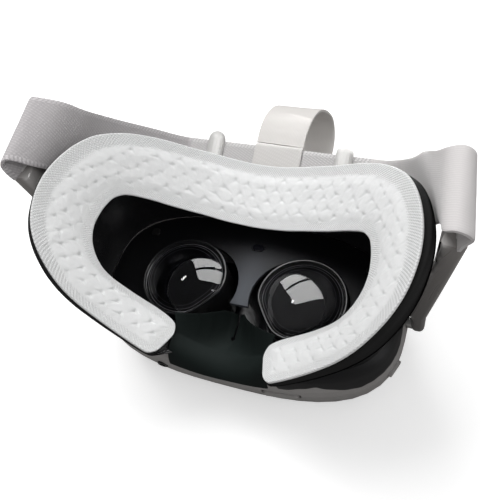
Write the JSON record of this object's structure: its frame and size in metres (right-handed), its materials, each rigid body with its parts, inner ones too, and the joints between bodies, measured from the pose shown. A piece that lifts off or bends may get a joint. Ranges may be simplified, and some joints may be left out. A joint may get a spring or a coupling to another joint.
{
  "type": "vr headset",
  "caption": "Stand-alone virtual reality headset: curved visor with two lenses in a padded face opening, side arms that swing up, an elastic band with sliders and a top strap",
  "frame": {"origin": "on the flat front face of the visor, in line with the lens centres and halfway between them", "axes": "+X to the wearer's right, +Y up on the wearer's head, +Z from the front face towards the wearer"},
  "size_m": [0.2232, 0.1895, 0.1449],
  "materials": {
    "shell": "fine satin moulded shell, light grey",
    "glass": "clear optical glass with a smooth polish",
    "slider": "light grey moulded plastic, slightly satin",
    "led": "small clear light pipe",
    "metal": "plain bright machined metal",
    "screen": "dark glossy panel",
    "board": "coated circuit board",
    "cell": "wrapped battery cell",
    "black": "black moulded plastic with a soft gloss",
    "cloth": "white padded nonwoven, heat-sealed rim, diamond quilting",
    "foam": "black open-cell foam",
    "rubber": "soft black moulded rubber",
    "webbing": "light grey woven elastic webbing",
    "arm": "grey-brown moulded plastic, satin"
  },
  "bodies": {
    "root": {"front_cover": "shell", "tracking_camera_1": "glass", "tracking_camera_2": "glass", "tracking_camera_3": "glass", "tracking_camera_4": "glass", "side_housing": "shell", "status_led": "led", "usb_port": "metal", "audio_jack": "metal", "display_panel": "screen", "mainboard": "board", "battery_pack": "cell", "cooling_fan": "metal", "heat_spreader": "metal", "face_plate": "black", "plate_screw_1": "metal", "plate_screw_2": "metal", "plate_screw_3": "metal", "plate_screw_4": "metal", "proximity_sensor": "glass", "face_cover": "cloth", "foam_pad": "foam", "facial_interface": "black", "nose_flap": "rubber", "left_hinge_pin": "metal", "right_hinge_pin": "metal", "top_strap": "webbing", "top_strap_anchor": "slider"},
    "left_arm": {"left_arm": "arm", "left_speaker": "foam", "left_strap_clip": "slider", "left_side_strap": "webbing", "right_side_strap": "webbing", "rear_band": "webbing", "top_strap_wrap": "webbing"},
    "right_arm": {"right_arm": "arm", "right_speaker": "foam", "right_strap_clip": "slider"},
    "left_lens": {"left_lens_barrel": "black", "left_lens": "glass"},
    "right_lens": {"right_lens_barrel": "black", "right_lens": "glass"},
    "power_button": {"power_button": "slider"},
    "volume_rocker": {"volume_rocker": "slider"},
    "left_slider": {"left_slider": "slider"},
    "right_slider": {"right_slider": "slider"}
  },
  "joints": [
    {"name": "left_arm_pivot", "type": "hinge", "parent": "root", "child": "left_arm", "pos_m": [0, 0.007, 0.039], "axis": [-1, 0, 0], "range_deg": [0, 12]},
    {"name": "right_arm_pivot", "type": "hinge", "parent": "root", "child": "right_arm", "pos_m": [0, 0.007, 0.039], "axis": [-1, 0, 0], "range_deg": [0, 12]},
    {"name": "left_lens_slide", "type": "slide", "parent": "root", "child": "left_lens", "axis": [1, 0, 0], "range_m": [0, 0.005]},
    {"name": "right_lens_slide", "type": "slide", "parent": "root", "child": "right_lens", "axis": [-1, 0, 0], "range_m": [0, 0.005]},
    {"name": "power_press", "type": "slide", "parent": "root", "child": "power_button", "axis": [-0.9334, 0.3588, 0], "range_m": [0, 0.0008], "stiffness_N_per_m": 1200, "springref_m": -0.0004},
    {"name": "volume_rock", "type": "hinge", "parent": "root", "child": "volume_rocker", "pos_m": [0.033, -0.0445, 0.032], "axis": [0, 0, 1], "range_deg": [-3, 3], "stiffness_Nm_per_rad": 0.6},
    {"name": "left_slider_slide", "type": "slide", "parent": "left_arm", "child": "left_slider", "axis": [1, 0, 0], "range_m": [-0.006, 0.012]},
    {"name": "right_slider_slide", "type": "slide", "parent": "left_arm", "child": "right_slider", "axis": [-1, 0, 0], "range_m": [-0.006, 0.012]}
  ],
  "couplings": [
    {"joint": "right_arm_pivot", "follows": "left_arm_pivot", "ratio": 1},
    {"joint": "right_lens_slide", "follows": "left_lens_slide", "ratio": 1}
  ]
}
